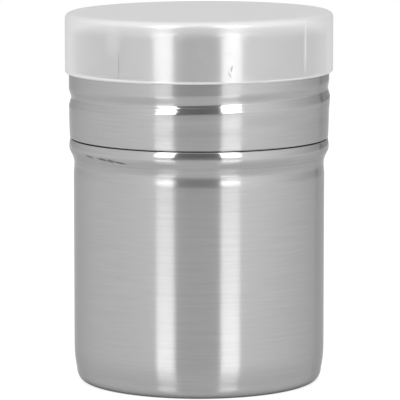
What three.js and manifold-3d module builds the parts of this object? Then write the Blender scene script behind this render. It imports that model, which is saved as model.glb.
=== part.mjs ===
// A stainless spice shaker: a drawn cup, a screwed lid with a crimped mesh sieve, and a frosted push-on cap.
// Millimetres, +Z up, the origin at the centre of the base. +X is to the right of someone who looks along +Y.

import * as THREE from "three";
import { mergeVertices } from "three/addons/utils/BufferGeometryUtils.js";
import Module from "manifold-3d";

const wasm = await Module();
wasm.setup();

// Facets and curve steps
const facets = 60;
const filletSteps = 3;

// Cup
const bodyRadius = 32.18;
const sheet = 0.5;
const footRadius = 29.5;
const footWidth = 5;
const baseRise = 0.8;
const baseStep = 1.2;
const heelRadius = 2.8;
const heelDraw = 0.65;
const heelDrawHeight = 9;

// Rolled bead that stops the lid, and the slight waist under it
const beadProud = 1.1;
const beadHeight = 5.3;
const waistDraw = 0.15;
const waistDepth = 6.3;
const waistFade = 2.5;

// Neck and the lid's fit on it
const neckHeight = 28.34;
const seamGap = 0.3;
const neckClearance = 0.21;
const ridgeClearance = 0.16;
const mouthGap = 0.3;
const mouthRounding = 0.15;

// Thread, right-handed with one start, rolled into the cup's neck and the lid alike
const pitch = 5;
const threadTurns = 4 / 3;
const threadFade = 0.12;
const threadBelowMiddle = 0.27;
const threadStart = 1 / 18;
const ridgeHalfWidth = 2;
const grooveBelow = 1.4;
const grooveAbove = 2.6;
const crestHeight = 0.14;
const crestBelow = 2.1;
const crestAbove = 0.8;
const bury = 0.2;
const skin = 0.06;

// Lid
const lidRadius = bodyRadius + beadProud;
const skirtDraw = 0.15;
const skirtDrawHeight = 3.5;
const shoulderRadius = 2.2;
const lipWidth = 4.8;
const lipTurn = 0.9;

// Cap
const overallHeight = 95;
const capHeight = 15.4;
const capGrip = 0.16;
const capWall = 0.8;
const capTop = 1.2;
const capCrown = 1.7;
const capCrownWidth = 1.4;
const capEdgeChamfer = 0.35;
const capSeatGap = 0.4;

// Sieve
const ringGap = 0.3;
const ringSheet = 0.4;
const ringInset = 0.6;
const meshThickness = 0.5;
const meshClearance = 0.1;
const meshTuck = 1.9;
const meshEdge = 0.5;
const wire = 0.8;
const wireDepth = 0.3;
const weavePitch = 4.4;

// Heights and radii that follow
const capUnderside = overallHeight - capTop;
const lidTop = capUnderside - capSeatGap;
const lidBore = lidRadius - sheet;
const lipRadius = lidRadius - lipWidth;
const grooveDepth = lidBore - bodyRadius - neckClearance;
const ridgeHeight = lidBore - ridgeClearance - bodyRadius;
const ringTop = lidTop - sheet - ringGap;
const ringHeight = 2 * ringSheet + meshThickness + 2 * meshClearance;
const ringBottom = ringTop - ringHeight;
const ringRadius = lidBore - ringGap;
const ringCorner = shoulderRadius - sheet - ringGap;
const ringBore = lipRadius + ringInset;
const meshRadius = ringBore + meshTuck;
const meshBottom = ringBottom + ringSheet + meshClearance;
const mouth = ringBottom - mouthGap;
const beadTop = mouth - neckHeight;
const lidBottom = beadTop + seamGap;
const capRadius = lidRadius + capGrip + capWall;

// The thread lies about the middle of the neck: the cup's ridge half a pitch above the lid's groove
const frontTurn = 3 / 4;
const threadMiddle = (beadTop + mouth) / 2 - threadBelowMiddle;
const ridgeAtFront = threadMiddle + pitch * (frontTurn - threadStart - threadTurns / 2);
const lidGrooveAtFront = ridgeAtFront - pitch / 2;

// Cut across, the lid's groove is crisp at its bottom, and its lower side is the shorter one. The metal that
// the roll pushed out of it stands proud under that side. A form's shares of its height run from below up.
const crestAtFront = lidGrooveAtFront - grooveBelow - crestAbove;
const ridgeForm = { below: ridgeHalfWidth, above: ridgeHalfWidth, heightShares: [0, 0.5, 1, 0.5, 0] };
const grooveForm = { below: grooveBelow, above: grooveAbove, heightShares: [0, 0.4, 1, 0.5, 0] };
const crestForm = { below: crestBelow, above: crestAbove, heightShares: [0, 1, 0] };

const point = (radius, height) => new THREE.Vector2(radius, height);

// Points along a quarter or other part of an ellipse, from one angle to another, both included.
function arc(centreR, centreZ, radiusR, radiusZ, from, to, steps = filletSteps) {
  return Array.from({ length: steps + 1 }, (_, i) => {
    const angle = from + ((to - from) * i) / steps;
    return point(centreR + radiusR * Math.cos(angle), centreZ + radiusZ * Math.sin(angle));
  });
}

const quarter = Math.PI / 2;

// A sheet or solid of revolution about +Z. Its profile runs with the material on its left.
function turned(profile) {
  return new THREE.LatheGeometry(profile, facets).rotateX(quarter);
}

// A closed profile comes back to its first point.
const closed = (profile) => [...profile, profile[0].clone()];

// The geometry with its shared corners merged and its collapsed triangles left out, as a solid for booleans.
function solid(geometry) {
  const bare = geometry.clone();
  bare.deleteAttribute("normal");
  bare.deleteAttribute("uv");
  const merged = mergeVertices(bare);
  const index = merged.getIndex().array;
  const triangles = [];
  for (let i = 0; i < index.length; i += 3) {
    const [a, b, c] = [index[i], index[i + 1], index[i + 2]];
    if (a !== b && b !== c && c !== a) triangles.push(a, b, c);
  }
  return new wasm.Manifold(new wasm.Mesh({
    numProp: 3,
    vertProperties: new Float32Array(merged.getAttribute("position").array),
    triVerts: new Uint32Array(triangles),
  }));
}

function geometryOf(manifold) {
  const mesh = manifold.getMesh();
  const geometry = new THREE.BufferGeometry();
  geometry.setAttribute("position", new THREE.BufferAttribute(mesh.vertProperties, 3));
  geometry.setIndex(new THREE.BufferAttribute(mesh.triVerts, 1));
  geometry.computeVertexNormals();
  return geometry;
}

// How much of the thread's height is there, from 0 at its ends to 1 along its run.
function threadStrength(turn) {
  const end = Math.min(turn, threadTurns - turn) / threadFade;
  return THREE.MathUtils.smoothstep(end, 0, 1);
}

// A rolled ridge, groove or crest that climbs round a wall as a closed bar. It passes the front at the height
// that heightAtFront gives. A positive rise swells outwards from the wall's radius, a negative one inwards,
// and the bar's back is buried on the other side of the wall's surface.
function threadBar(radius, rise, { below, above, heightShares }, heightAtFront) {
  const way = Math.sign(rise);
  const steps = Math.round(threadTurns * facets);
  const firstStep = Math.round(threadStart * facets);
  const half = (heightShares.length - 1) / 2;
  const ring = heightShares.length + 2;
  const positions = [];
  for (let i = 0; i <= steps; i += 1) {
    const turn = i / facets;
    const angle = ((firstStep + i) / facets) * 2 * Math.PI;
    const middle = heightAtFront + pitch * ((firstStep + i) / facets - frontTurn);
    const full = (Math.abs(rise) + skin) * threadStrength(turn);
    const surface = heightShares.map((share, j) => {
      const reach = j < half ? below : above;
      return point(radius + way * (full * share - skin), middle + reach * (j / half - 1));
    });
    const section = [
      point(radius - way * bury, middle - below),
      ...surface,
      point(radius - way * bury, middle + above),
    ];
    for (const { x, y } of section) positions.push(x * Math.cos(angle), x * Math.sin(angle), y);
  }
  const index = [];
  const face = (a, b, c) => (way > 0 ? index.push(a, b, c) : index.push(a, c, b));
  for (let i = 0; i < steps; i += 1) {
    for (let j = 0; j < ring; j += 1) {
      const [a, b] = [i * ring + j, i * ring + ((j + 1) % ring)];
      face(a, a + ring, b + ring);
      face(a, b + ring, b);
    }
  }
  const last = steps * ring;
  for (let j = 1; j < ring - 1; j += 1) {
    face(0, j, j + 1);
    face(last, last + j + 1, last + j);
  }
  const geometry = new THREE.BufferGeometry();
  geometry.setAttribute("position", new THREE.Float32BufferAttribute(positions, 3));
  geometry.setIndex(index);
  return solid(geometry);
}

// The drawn cup: one sheet, so the inside follows the outside at the sheet's thickness.
function cup() {
  const waist = beadTop - waistDepth;
  const heelTop = bodyRadius - heelDraw;
  // Shares of the drawn heel's height and of its draw, and of the bead's depth under its top and how far it
  // stands proud there. It swells slowly to its crest and turns in quickly over it, under the lid's edge.
  const heelShares = [[0.3, 0.5], [0.6, 0.84], [1, 1]];
  const beadShares = [
    [0.94, 0.05], [0.78, 0.32], [0.6, 0.77], [0.43, 0.985], [0.34, 1], [0.11, 0.875], [0, 0.66],
  ];
  const wall = (inset) => [
    ...arc(footRadius, heelRadius, heelTop - footRadius - inset, heelRadius - inset, -quarter, 0),
    ...heelShares.map(([up, out]) =>
      point(heelTop + heelDraw * out - inset, heelRadius + (heelDrawHeight - heelRadius) * up)),
    point(bodyRadius - inset, waist - waistFade),
    point(bodyRadius - waistDraw - inset, waist),
    ...beadShares.map(([down, out]) =>
      point(bodyRadius + beadProud * out - inset, beadTop - beadHeight * down - inset * (1 - down))),
    point(bodyRadius - inset, beadTop - inset),
  ];
  const base = (lift) => [
    point(0, baseRise + lift),
    point(footRadius - footWidth - baseStep, baseRise + lift),
    point(footRadius - footWidth, lift),
  ];
  const inside = wall(sheet).reverse();
  const profile = [
    ...base(0),
    ...wall(0),
    point(bodyRadius, mouth - mouthRounding),
    point(bodyRadius - mouthRounding, mouth),
    point(bodyRadius - sheet + mouthRounding, mouth),
    point(bodyRadius - sheet, mouth - mouthRounding),
    ...inside,
    ...base(sheet).reverse(),
  ];
  return solid(turned(profile))
    .add(threadBar(bodyRadius, ridgeHeight, ridgeForm, ridgeAtFront))
    .subtract(threadBar(bodyRadius - sheet, ridgeHeight, ridgeForm, ridgeAtFront));
}

// The lid: a collar with its top turned in over the sieve, and the thread rolled into it from outside.
function lid() {
  const inner = shoulderRadius - sheet;
  const lipInner = lipTurn - sheet;
  const profile = closed([
    point(lidBore, lidBottom),
    point(lidRadius - skirtDraw, lidBottom),
    point(lidRadius, lidBottom + skirtDrawHeight),
    ...arc(lidRadius - shoulderRadius, lidTop - shoulderRadius, shoulderRadius, shoulderRadius, 0, quarter),
    ...arc(lipRadius + lipTurn, lidTop - lipTurn, lipTurn, lipTurn, quarter, 2 * quarter),
    ...arc(lipRadius + lipTurn, lidTop - lipTurn, lipInner, lipInner, 2 * quarter, quarter),
    ...arc(lidRadius - shoulderRadius, lidTop - shoulderRadius, inner, inner, quarter, 0),
  ]);
  return solid(turned(profile))
    .add(threadBar(lidBore, -grooveDepth, grooveForm, lidGrooveAtFront))
    .subtract(threadBar(lidRadius, -grooveDepth, grooveForm, lidGrooveAtFront))
    .add(threadBar(lidRadius, crestHeight, crestForm, crestAtFront));
}

// The crimped ring: a channel that is open towards the middle and takes the mesh's edge.
function sieveRing() {
  const slotTop = ringTop - ringSheet;
  const slotBottom = ringBottom + ringSheet;
  const slotRadius = meshRadius + meshClearance;
  return turned(closed([
    point(ringBore, ringBottom),
    point(ringRadius - ringSheet, ringBottom),
    point(ringRadius, ringBottom + ringSheet),
    ...arc(ringRadius - ringCorner, ringTop - ringCorner, ringCorner, ringCorner, 0, quarter),
    point(ringBore, ringTop),
    point(ringBore, slotTop),
    point(slotRadius, slotTop),
    point(slotRadius, slotBottom),
    point(ringBore, slotBottom),
  ]));
}

// The sieve's net: straight wires in two crossing layers that are pressed together, inside a flat rim.
function sieveMesh() {
  const rimRadius = ringBore - meshEdge;
  const rimMiddle = (rimRadius + meshRadius) / 2;
  const wiresEachSide = Math.floor(rimRadius / weavePitch);
  let net = solid(turned(closed([
    point(rimRadius, 0),
    point(meshRadius, 0),
    point(meshRadius, meshThickness),
    point(rimRadius, meshThickness),
  ])));
  for (let i = -wiresEachSide; i <= wiresEachSide; i += 1) {
    const offset = i * weavePitch;
    const length = 2 * Math.sqrt(rimMiddle ** 2 - offset ** 2);
    const lower = new THREE.BoxGeometry(length, wire, wireDepth);
    lower.translate(0, offset, wireDepth / 2);
    const upper = new THREE.BoxGeometry(wire, length, wireDepth);
    upper.translate(offset, 0, meshThickness - wireDepth / 2);
    net = net.add(solid(lower)).add(solid(upper));
  }
  return net;
}

// The cap: a moulded cup upside down, with a softly rounded crown and a plain lower edge.
function cap() {
  const edge = overallHeight - capHeight;
  const bore = capRadius - capWall;
  const crownR = capRadius - capCrownWidth;
  const crownZ = overallHeight - capCrown;
  const innerR = capCrownWidth - capWall / 2;
  const innerZ = capCrown - capTop;
  return turned([
    point(0, capUnderside),
    ...arc(bore - innerR, crownZ, innerR, innerZ, quarter, 0),
    point(bore, edge),
    point(capRadius - capEdgeChamfer, edge),
    point(capRadius, edge + capEdgeChamfer),
    ...arc(crownR, crownZ, capCrownWidth, capCrown, 0, quarter),
    point(0, overallHeight),
  ]);
}

const satinSteel = { color: 0xb9b9b9, roughness: 0.32, metalness: 1 };
const wireSteel = { color: 0xa8a8a8, roughness: 0.4, metalness: 1 };
const frostedPlastic = { color: 0xe6e6e6, roughness: 0.45, metalness: 0, transparent: true, opacity: 0.45 };

function piece(name, geometry, finish) {
  const mesh = new THREE.Mesh(geometry, new THREE.MeshStandardMaterial(finish));
  mesh.name = name;
  return mesh;
}

const cupPiece = piece("cup", geometryOf(cup()), satinSteel);
const lidPiece = piece("lid", geometryOf(lid()), satinSteel);
const ringPiece = piece("sieve_ring", sieveRing(), satinSteel);
const meshPiece = piece("sieve_mesh", geometryOf(sieveMesh()), wireSteel);
meshPiece.position.z = meshBottom;
const capPiece = piece("cap", cap(), frostedPlastic);

const sieve = new THREE.Group();
sieve.add(ringPiece, meshPiece);

const closure = new THREE.Group();
closure.add(lidPiece, sieve, capPiece);

const shaker = new THREE.Group();
shaker.add(cupPiece, closure);

export default shaker;
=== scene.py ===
"""Dresses the stainless spice shaker: its satin and polished steel, its woven sieve and its frosted cap.

Every piece is modelled at the size of the solid that it stands for, in metres, about the Z axis.
"""

import logging
import math
from dataclasses import dataclass
from enum import Enum
from typing import Callable, Sequence

import bpy
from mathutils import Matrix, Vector


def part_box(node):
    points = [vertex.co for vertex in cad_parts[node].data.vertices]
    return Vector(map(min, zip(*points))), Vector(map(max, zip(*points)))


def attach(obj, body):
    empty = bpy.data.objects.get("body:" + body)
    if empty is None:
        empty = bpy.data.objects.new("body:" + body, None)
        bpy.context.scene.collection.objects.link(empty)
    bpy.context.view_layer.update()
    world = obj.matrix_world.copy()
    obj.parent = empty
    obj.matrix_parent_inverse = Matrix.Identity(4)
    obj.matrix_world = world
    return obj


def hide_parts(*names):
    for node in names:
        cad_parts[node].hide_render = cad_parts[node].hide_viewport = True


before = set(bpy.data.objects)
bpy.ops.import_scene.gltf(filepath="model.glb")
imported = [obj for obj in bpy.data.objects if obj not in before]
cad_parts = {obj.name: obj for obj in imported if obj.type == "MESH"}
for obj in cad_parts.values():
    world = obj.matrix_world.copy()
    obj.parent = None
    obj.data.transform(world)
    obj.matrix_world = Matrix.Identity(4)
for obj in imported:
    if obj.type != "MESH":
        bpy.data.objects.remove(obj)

logging.basicConfig(level=logging.INFO, format="%(message)s")
log = logging.getLogger("shaker")

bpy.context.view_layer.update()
MM = 0.001
QUARTER = math.pi / 2
TURN = 2 * math.pi
# Where the front lies, as a share of a turn from +X.
FRONT_SHARE = 0.75
# Nearly all of a noise pattern lies between these two values.
NOISE_LOW = 0.3
NOISE_HIGH = 0.7

Point = tuple[float, float]
Corner = tuple[float, float, float]
Colour = tuple[float, float, float, float]
Section = Callable[[float], float]
Reach = Callable[[float, float], float]
Tree = bpy.types.NodeTree
Node = bpy.types.Node
Socket = bpy.types.NodeSocket


def linear(code: str) -> Colour:
    """Turn an sRGB hex colour into the linear colour that a shader reads.

    Args:
        code: Six hex digits, red first.

    Returns:
        Red, green and blue as linear values, and an alpha of one.
    """
    values = [int(code[i:i + 2], 16) / 255 for i in (0, 2, 4)]
    red, green, blue = (v / 12.92 if v <= 0.04045 else ((v + 0.055) / 1.055) ** 2.4 for v in values)
    return red, green, blue, 1.0


def add_node(tree: Tree, kind: str, settings: dict | None = None, links: dict | None = None) -> Node:
    """Add a node to a tree with its settings and what feeds it.

    Args:
        tree: The tree that takes the node.
        kind: Blender's name for the node's type.
        settings: Values for its sockets, by name or number, or for its own properties.
        links: For each of its inputs, the output socket that feeds it.

    Returns:
        The new node.
    """
    node = tree.nodes.new(kind)
    for name, value in (settings or {}).items():
        if isinstance(name, int) or name in node.inputs:
            node.inputs[name].default_value = value
        else:
            setattr(node, name, value)
    for name, source in (links or {}).items():
        tree.links.new(source, node.inputs[name])
    return node


def arc(centre: Point, radii: Point, start: float, end: float, steps: int = 12) -> list[Point]:
    """Lay points along a part of an ellipse in the profile's plane.

    Args:
        centre: The ellipse's middle, as radius and height.
        radii: Its half-width and half-height.
        start: The first angle, in radians from the outward direction.
        end: The last angle.
        steps: How many stretches the arc is cut into.

    Returns:
        The points, both ends included.
    """
    turns = [start + (end - start) * i / steps for i in range(steps + 1)]
    return [(centre[0] + radii[0] * math.cos(a), centre[1] + radii[1] * math.sin(a)) for a in turns]


def line(start: Point, end: Point, step: float) -> list[Point]:
    """Lay points along a straight stretch.

    Args:
        start: The first point.
        end: Where the stretch ends.
        step: The furthest that two points may lie apart.

    Returns:
        The points, without the one at the end.
    """
    count = max(1, math.ceil(math.dist(start, end) / step))
    return [(start[0] + (end[0] - start[0]) * i / count, start[1] + (end[1] - start[1]) * i / count)
            for i in range(count)]


def smooth_curve(points: Sequence[Point], steps: int = 8) -> list[Point]:
    """Run a smooth curve through points, with straight ends.

    Args:
        points: The points that the curve passes through.
        steps: How many stretches lie between two of them.

    Returns:
        The curve's points, both ends included.
    """
    ends = [points[0], *points, points[-1]]
    curve = []
    for before, here, there, after in zip(ends, ends[1:], ends[2:], ends[3:]):
        for i in range(steps):
            t = i / steps
            curve.append(tuple(
                0.5 * (2 * b + (c - a) * t + (2 * a - 5 * b + 4 * c - d) * t ** 2
                       + (3 * b - a - 3 * c + d) * t ** 3)
                for a, b, c, d in zip(before, here, there, after)))
    return [*curve, tuple(points[-1])]


def softened(corners: Sequence[Corner], steps: int = 5) -> list[Point]:
    """Round the corners of an open outline.

    Args:
        corners: Each corner's radius from the axis, its height and the radius that rounds it.
        steps: How many stretches round each corner.

    Returns:
        The rounded outline.
    """
    outline: list[Point] = []
    for i, (r, z, rounding) in enumerate(corners):
        if rounding == 0 or i in (0, len(corners) - 1):
            outline.append((r, z))
            continue
        here = Vector((r, z))
        back = (Vector(corners[i - 1][:2]) - here).normalized()
        on = (Vector(corners[i + 1][:2]) - here).normalized()
        for j in range(steps + 1):
            t = j / steps
            outline.append(tuple(here + back * rounding * (1 - t) ** 2 + on * rounding * t ** 2))
    return outline


def smoothstep(value: float) -> float:
    """Ease a value from 0 to 1, flat at both ends."""
    t = min(1.0, max(0.0, value))
    return t * t * (3 - 2 * t)


def bell(away: float) -> float:
    """Ease from 1 in the middle to 0 at a distance of 1 and beyond."""
    return math.cos(QUARTER * min(1.0, abs(away))) ** 2


@dataclass(frozen=True)
class Thread:
    """A rolled right-hand thread of one start.

    Its middle line passes the front of the shaker at a height of its own, and it fades out at both ends.
    Its start and its fade are shares of a turn.
    """

    at_front: float
    pitch: float = 5 * MM
    turns: float = 4 / 3
    start_share: float = 1 / 18
    fade_share: float = 0.12

    def swell(self, turn: float, height: float, section: Section) -> float:
        """Say how strongly the thread is felt at a place on the wall.

        Args:
            turn: The place's angle as a share of a turn, from 0 to 1.
            height: The place's height.
            section: The form of the thread, cut across.

        Returns:
            The section's value there, faded at the thread's ends.
        """
        best = 0.0
        for lap in (0, 1):
            along = turn + lap - self.start_share
            if not 0 <= along <= self.turns:
                continue
            over = height - self.at_front - self.pitch * (turn + lap - FRONT_SHARE)
            felt = section(over) * smoothstep(min(along, self.turns - along) / self.fade_share)
            best = felt if abs(felt) > abs(best) else best
        return best

    def end_height(self) -> float:
        """Give the height at which the thread's middle line ends."""
        return self.at_front + self.pitch * (self.start_share + self.turns - FRONT_SHARE)


def new_piece(name: str, vertices: Sequence[Corner], faces: Sequence[Sequence[int]],
              smooth: bool = True) -> bpy.types.Object:
    """Make an object from a mesh's vertices and faces.

    Args:
        name: The piece's name.
        vertices: Where the mesh's vertices lie.
        faces: The numbers of the vertices round each face.
        smooth: Whether the faces are shaded as one smooth surface.

    Returns:
        The new object.
    """
    mesh = bpy.data.meshes.new(name)
    mesh.from_pydata(vertices, [], faces)
    mesh.validate()
    if smooth:
        mesh.shade_smooth()
    piece = bpy.data.objects.new(name, mesh)
    bpy.context.scene.collection.objects.link(piece)
    return piece


def turned(name: str, profile: Sequence[Point], segments: int = 360,
           reach: Reach | None = None, closed: bool = False) -> bpy.types.Object:
    """Spin a profile about the Z axis into one closed mesh.

    Args:
        name: The piece's name.
        profile: Points as radius and height, with the material on the left of the way they run.
        segments: How many strips go round.
        reach: Gives how far out a point moves, from its angle as a share of a turn and its height, or
            none where the form is round.
        closed: Whether the profile joins its own start instead of ending on the axis.

    Returns:
        The new object, shaded smooth.
    """
    vertices: list[Corner] = []
    rows: list[list[int]] = []
    for r, z in profile:
        first = len(vertices)
        if r == 0:
            rows.append([first] * segments)
            vertices.append((0.0, 0.0, z))
            continue
        rows.append(list(range(first, first + segments)))
        for share in (i / segments for i in range(segments)):
            out = r + (reach(share, z) if reach else 0.0)
            vertices.append((out * math.cos(TURN * share), out * math.sin(TURN * share), z))
    faces = []
    for low, high in zip(rows, rows[1:] + (rows[:1] if closed else [])):
        for i in range(segments):
            j = (i + 1) % segments
            corners = tuple(dict.fromkeys((low[i], low[j], high[j], high[i])))
            if len(corners) > 2:
                faces.append(corners)
    return new_piece(name, vertices, faces)


@dataclass(frozen=True)
class Band:
    """A level stretch of a wall that looks different, with how far the difference fades out."""

    low: float
    high: float
    fade: float

    def felt(self, tree: Tree, place: Node) -> Socket:
        """Say how strongly the band is felt at each height.

        Args:
            tree: The material's node tree.
            place: The node that gives the place on the piece.

        Returns:
            The socket that gives 1 in the band and 0 away from it.
        """
        height = add_node(tree, "ShaderNodeSeparateXYZ", links={"Vector": place.outputs["Object"]})
        off = add_node(tree, "ShaderNodeMath", {"operation": "SUBTRACT", 1: (self.low + self.high) / 2},
                       {0: height.outputs["Z"]})
        far = add_node(tree, "ShaderNodeMath", {"operation": "ABSOLUTE"}, {0: off.outputs[0]})
        half = (self.high - self.low) / 2
        share = add_node(tree, "ShaderNodeMapRange",
                         {"interpolation_type": "SMOOTHSTEP", "From Min": half, "From Max": half + self.fade,
                          "To Min": 1.0, "To Max": 0.0}, {"Value": far.outputs[0]})
        return share.outputs["Result"]


@dataclass(frozen=True)
class Mark:
    """A small oval mark on a round wall.

    Its bearing from the front is in degrees and its tilt in radians. Its middle lies over the level of
    the marks that it belongs to, and wide and tall say how far it reaches from there.
    """

    bearing: float
    over: float
    wide: float
    tall: float
    tilt: float
    strength: float


@dataclass(frozen=True)
class Marks:
    """The marks of one kind on a round wall.

    The wall's radius turns a bearing into a length round it. A fine grain makes the outlines ragged, and
    each mark fades out between two shares of its own size.
    """

    radius: float
    level: float
    ovals: tuple[Mark, ...]
    grain: float = 0.8 * MM
    full_share: float = 0.7
    faded_share: float = 1.5

    def felt(self, tree: Tree, place: Node) -> Socket:
        """Say how strongly each place on the wall is marked.

        Args:
            tree: The material's node tree.
            place: The node that gives the place on the piece.

        Returns:
            The socket that gives 0 on a clean wall and a mark's strength in its middle.
        """
        split = add_node(tree, "ShaderNodeSeparateXYZ", links={"Vector": place.outputs["Object"]})
        ahead = add_node(tree, "ShaderNodeMath", {"operation": "MULTIPLY", 1: -1.0}, {0: split.outputs["Y"]})
        angle = add_node(tree, "ShaderNodeMath", {"operation": "ARCTAN2"},
                         {0: split.outputs["X"], 1: ahead.outputs[0]})
        around = add_node(tree, "ShaderNodeMath", {"operation": "MULTIPLY", 1: self.radius},
                          {0: angle.outputs[0]})
        flat = add_node(tree, "ShaderNodeCombineXYZ", links={"X": around.outputs[0], "Y": split.outputs["Z"]})
        ragged = add_node(tree, "ShaderNodeTexNoise",
                          {"Scale": 1 / self.grain, "Detail": 3.0, "Roughness": 0.7},
                          {"Vector": place.outputs["Object"]})
        total, *others = [self.oval(tree, mark, flat, ragged) for mark in self.ovals]
        for other in others:
            more = add_node(tree, "ShaderNodeMath", {"operation": "MAXIMUM"}, {0: total, 1: other})
            total = more.outputs[0]
        return total

    def oval(self, tree: Tree, mark: Mark, flat: Node, ragged: Node) -> Socket:
        """Say how strongly one mark is felt.

        Args:
            tree: The material's node tree.
            mark: The mark.
            flat: The node that gives the place on the wall, unrolled flat from the front.
            ragged: The noise that breaks up the mark's outline.

        Returns:
            The socket that gives the mark's strength in its middle and 0 away from it.
        """
        middle = (self.radius * math.radians(mark.bearing), self.level + mark.over, 0)
        inside = add_node(tree, "ShaderNodeMapping",
                          {"vector_type": "TEXTURE", "Location": middle, "Rotation": (0, 0, mark.tilt),
                           "Scale": (mark.wide, mark.tall, 1)}, {"Vector": flat.outputs["Vector"]})
        away = add_node(tree, "ShaderNodeVectorMath", {"operation": "LENGTH"}, {0: inside.outputs["Vector"]})
        outline = add_node(tree, "ShaderNodeMath", {"operation": "ADD"},
                           {0: away.outputs["Value"], 1: ragged.outputs["Fac"]})
        share = add_node(tree, "ShaderNodeMapRange",
                         {"interpolation_type": "SMOOTHSTEP", "From Min": self.full_share,
                          "From Max": self.faded_share, "To Min": mark.strength, "To Max": 0.0},
                         {"Value": outline.outputs[0]})
        return share.outputs["Result"]


class Finish:
    """A finish that makes one material, named for what the real one is and how it was made."""

    name: str

    def shader(self, tree: Tree) -> Node:
        """Build the shader that gives the finish its look."""
        raise NotImplementedError

    def material(self) -> bpy.types.Material:
        """Make the material.

        Returns:
            The material, with the finish's shader as its surface.
        """
        material = bpy.data.materials.new(self.name)
        material.use_nodes = True
        tree = material.node_tree
        tree.nodes.clear()
        shader = self.shader(tree)
        add_node(tree, "ShaderNodeOutputMaterial", links={"Surface": shader.outputs[0]})
        return material


@dataclass(frozen=True)
class SatinSteel(Finish):
    """Drawn 18/8 stainless, rubbed round the axis with a fine abrasive.

    The rubbing stretches each reflection up and down the wall, so a tall lamp shows as one even stripe
    with crisp sides, and leaves a faint haze over it. Where the rolls pressed, the steel is bright.
    """

    name: str
    bright: Band
    scuffs: Marks | None = None
    colour: str = "a8a8a8"
    edge_colour: str = "d6d6d6"
    scuff_colour: str = "3c3c3c"
    roughness: float = 0.168
    bright_roughness: float = 0.125
    anisotropy: float = 0.675
    # Reflections stretch across the rub lines, a quarter of a turn from the way the lines run.
    stretch_turn: float = 0.25
    haze: float = 0.17
    bright_haze: float = 0.07
    haze_roughness: float = 0.55
    # The abrasive's own lines are too fine to show from this far, so they are drawn coarser.
    line_spacing: float = 0.35 * MM
    line_stretch: float = 40
    line_depth: float = 0.0018 * MM
    line_tone: float = 0.05
    cloud_size: float = 9 * MM
    cloud_sheen: float = 0.06

    def rub_lines(self, tree: Tree, place: Node) -> Socket:
        """Lay the fine rub lines round the wall.

        Args:
            tree: The material's node tree.
            place: The node that gives the place on the piece.

        Returns:
            The socket that gives the lines' relief.
        """
        # A rub line is far longer than it is wide, so the noise is squeezed along the height alone.
        along = 1 / (self.line_stretch * self.line_spacing)
        squeezed = add_node(tree, "ShaderNodeMapping", {"Scale": (along, along, 1 / self.line_spacing)},
                            {"Vector": place.outputs["Object"]})
        lines = add_node(tree, "ShaderNodeTexNoise", {"Scale": 1.0, "Detail": 3.0, "Roughness": 0.6},
                         {"Vector": squeezed.outputs["Vector"]})
        return lines.outputs["Fac"]

    def tone(self, tree: Tree, place: Node, lines: Socket) -> Socket:
        """Colour the steel, a little darker or paler in each rub line and dull where it is scuffed.

        Args:
            tree: The material's node tree.
            place: The node that gives the place on the piece.
            lines: The rub lines' relief.

        Returns:
            The socket that gives the colour.
        """
        shade = add_node(tree, "ShaderNodeMapRange",
                         {"From Min": NOISE_LOW, "From Max": NOISE_HIGH,
                          "To Min": 1 - self.line_tone, "To Max": 1 + self.line_tone}, {"Value": lines})
        rubbed = add_node(tree, "ShaderNodeMix",
                          {"data_type": "RGBA", "blend_type": "MULTIPLY", "Factor": 1.0,
                           6: linear(self.colour)}, {7: shade.outputs["Result"]})
        if self.scuffs is None:
            return rubbed.outputs[2]
        dulled = add_node(tree, "ShaderNodeMix", {"data_type": "RGBA", 7: linear(self.scuff_colour)},
                          {"Factor": self.scuffs.felt(tree, place), 6: rubbed.outputs[2]})
        return dulled.outputs[2]

    def sheen(self, tree: Tree, place: Node, bright: Socket) -> Socket:
        """Say how rough the steel is: faintly clouded, and smoother where the rolls pressed.

        Args:
            tree: The material's node tree.
            place: The node that gives the place on the piece.
            bright: How burnished the steel is.

        Returns:
            The socket that gives the roughness.
        """
        clouds = add_node(tree, "ShaderNodeTexNoise",
                          {"Scale": 1 / self.cloud_size, "Detail": 2.0, "Roughness": 0.5},
                          {"Vector": place.outputs["Object"]})
        satin = add_node(tree, "ShaderNodeMapRange",
                         {"From Min": NOISE_LOW, "From Max": NOISE_HIGH,
                          "To Min": self.roughness * (1 - self.cloud_sheen),
                          "To Max": self.roughness * (1 + self.cloud_sheen)},
                         {"Value": clouds.outputs["Fac"]})
        roughness = add_node(tree, "ShaderNodeMix", {"data_type": "FLOAT", "B": self.bright_roughness},
                             {"Factor": bright, "A": satin.outputs["Result"]})
        return roughness.outputs[0]

    def shader(self, tree: Tree) -> Node:
        """Build the steel: a stretched reflection with a faint haze over it.

        Args:
            tree: The material's node tree.

        Returns:
            The metal's shader.
        """
        place = add_node(tree, "ShaderNodeTexCoord")
        lines = self.rub_lines(tree, place)
        bright = self.bright.felt(tree, place)
        bump = add_node(tree, "ShaderNodeBump", {"Strength": 1.0, "Distance": self.line_depth},
                        {"Height": lines})
        around = add_node(tree, "ShaderNodeTangent", {"direction_type": "RADIAL", "axis": "Z"})
        sharp = add_node(tree, "ShaderNodeBsdfPrincipled",
                         {"Metallic": 1.0, "Specular Tint": linear(self.edge_colour),
                          "Anisotropic": self.anisotropy, "Anisotropic Rotation": self.stretch_turn},
                         {"Base Color": self.tone(tree, place, lines),
                          "Roughness": self.sheen(tree, place, bright),
                          "Normal": bump.outputs["Normal"], "Tangent": around.outputs["Tangent"]})
        hazy = add_node(tree, "ShaderNodeBsdfPrincipled",
                        {"Base Color": linear(self.colour), "Metallic": 1.0,
                         "Specular Tint": linear(self.edge_colour), "Roughness": self.haze_roughness})
        haze = add_node(tree, "ShaderNodeMapRange", {"To Min": self.haze, "To Max": self.bright_haze},
                        {"Value": bright})
        return add_node(tree, "ShaderNodeMixShader",
                        links={0: haze.outputs["Result"], 1: sharp.outputs[0], 2: hazy.outputs[0]})


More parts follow.
